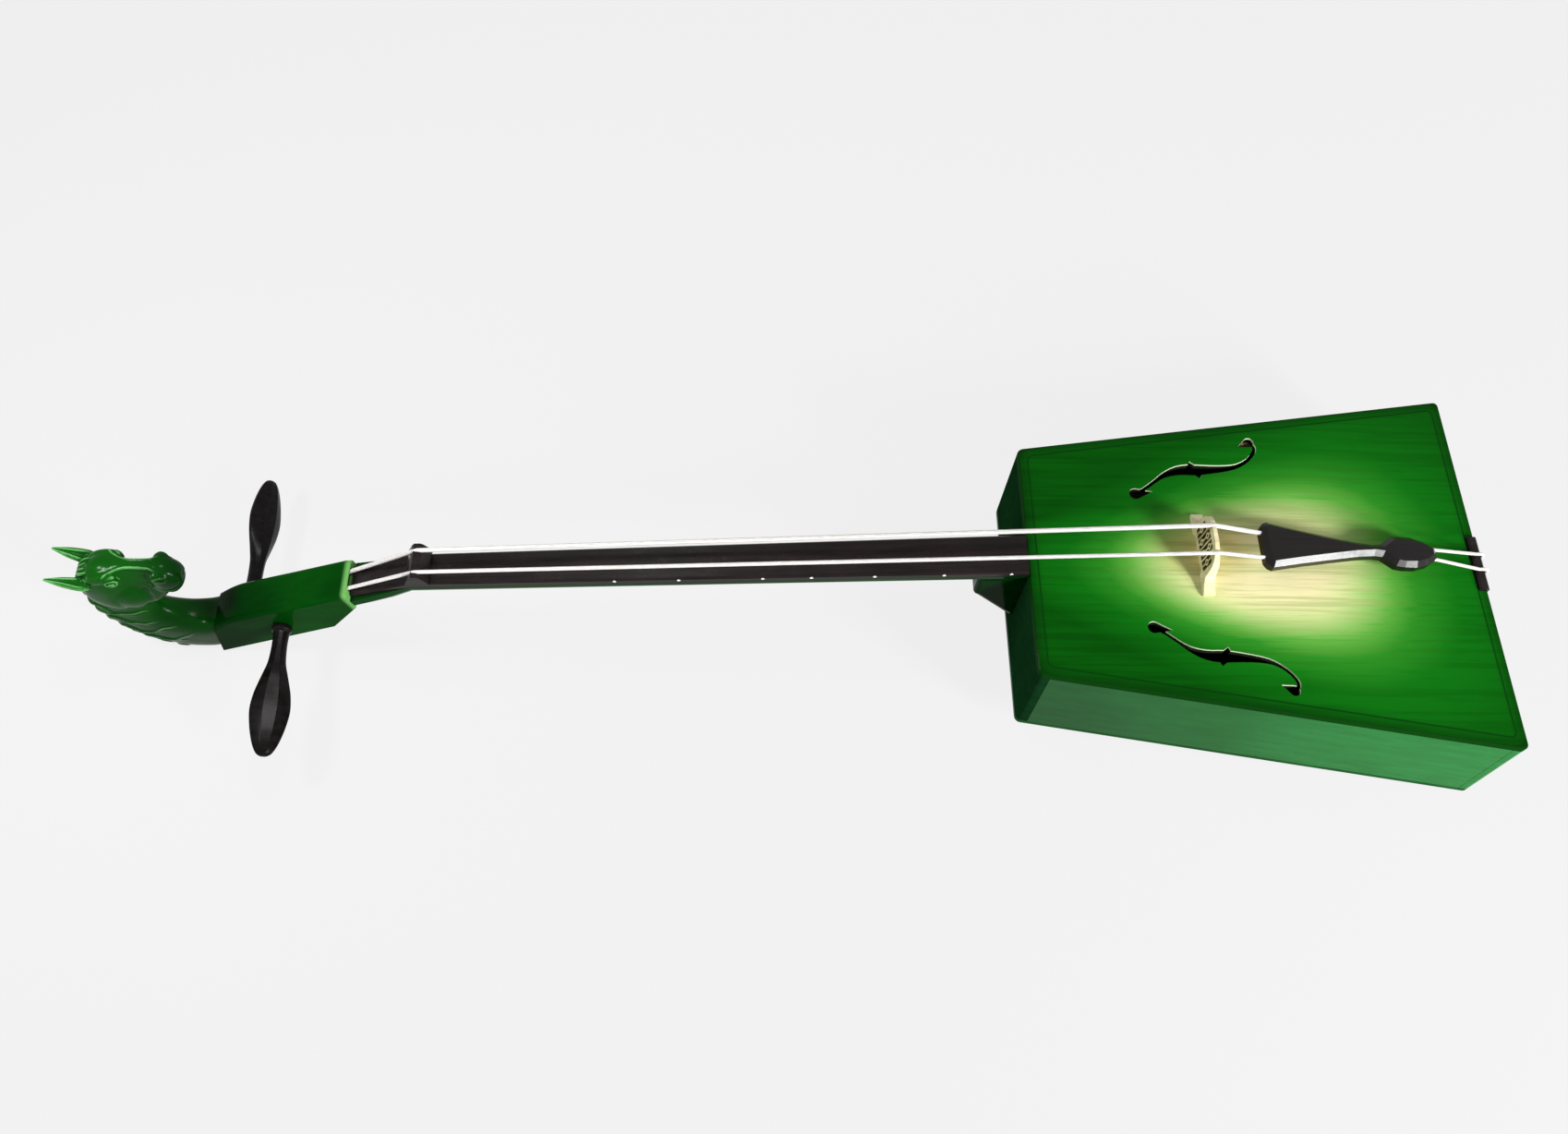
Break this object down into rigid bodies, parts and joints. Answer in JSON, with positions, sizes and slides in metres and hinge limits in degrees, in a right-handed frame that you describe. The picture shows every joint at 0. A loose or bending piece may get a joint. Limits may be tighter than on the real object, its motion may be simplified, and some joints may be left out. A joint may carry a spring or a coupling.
{
  "type": "two-string horse-head fiddle",
  "caption": "Green lacquered fiddle with a trapezoidal sound box, a carved horse's head, turning pegs, thick white strings, a pierced bridge and a black tailpiece.",
  "frame": {"origin": "centre of the back board's outer face", "axes": "+X from the head to the tail, +Y towards the thick bass string, +Z out of the sound board"},
  "size_m": [1.0082, 0.2728, 0.1807],
  "materials": {
    "green_lacquer": "gloss green lacquer",
    "sunburst_lacquer": "gloss green sunburst lacquer over pale grain",
    "black_wood": "satin black",
    "white_string": "bundled nylon filaments",
    "white_cord": "braided cord",
    "pearl_dot": "polished",
    "pale_wood": "bare",
    "inner_wood": "bare"
  },
  "bodies": {
    "fiddle": {"back_board": "green_lacquer", "bass_bar": "inner_wood", "bass_neck_lining_back": "inner_wood", "bass_neck_lining_front": "inner_wood", "bass_side_lining_back": "inner_wood", "bass_side_lining_front": "inner_wood", "bass_side_rib": "green_lacquer", "bass_string": "white_string", "bass_string_knot": "white_string", "bass_tail_lining_back": "inner_wood", "bass_tail_lining_front": "inner_wood", "bridge": "pale_wood", "end_pin": "black_wood", "fingerboard": "black_wood", "horse_head": "green_lacquer", "neck": "green_lacquer", "neck_bass_corner_block": "inner_wood", "neck_block": "inner_wood", "neck_end_rib": "green_lacquer", "neck_treble_corner_block": "inner_wood", "nut": "black_wood", "pegbox": "green_lacquer", "saddle": "black_wood", "side_dot_1": "pearl_dot", "side_dot_2": "pearl_dot", "side_dot_3": "pearl_dot", "side_dot_4": "pearl_dot", "side_dot_5": "pearl_dot", "side_dot_6": "pearl_dot", "side_dot_7": "pearl_dot", "sound_board": "sunburst_lacquer", "sound_post": "inner_wood", "tail_bass_corner_block": "inner_wood", "tail_block": "inner_wood", "tail_cord": "white_cord", "tail_cord_bass_knot": "white_cord", "tail_cord_treble_knot": "white_cord", "tail_end_rib": "green_lacquer", "tail_treble_corner_block": "inner_wood", "tailpiece": "black_wood", "treble_neck_lining_back": "inner_wood", "treble_neck_lining_front": "inner_wood", "treble_side_lining_back": "inner_wood", "treble_side_lining_front": "inner_wood", "treble_side_rib": "green_lacquer", "treble_string": "white_string", "treble_string_knot": "white_string", "treble_tail_lining_back": "inner_wood", "treble_tail_lining_front": "inner_wood"},
    "bass_tuner": {"bass_peg": "black_wood", "bass_winding": "white_string"},
    "treble_tuner": {"treble_peg": "black_wood", "treble_winding": "white_string"}
  },
  "joints": [
    {"name": "bass_peg_turn", "type": "hinge", "parent": "fiddle", "child": "bass_tuner", "pos_m": [-0.7237, 0, -0.02548], "axis": [-0.0159, 0.9998, -0.0073], "continuous": true},
    {"name": "treble_peg_turn", "type": "hinge", "parent": "fiddle", "child": "treble_tuner", "pos_m": [-0.69254, 0, -0.01114], "axis": [0.0317, -0.9994, 0.0146], "continuous": true}
  ]
}
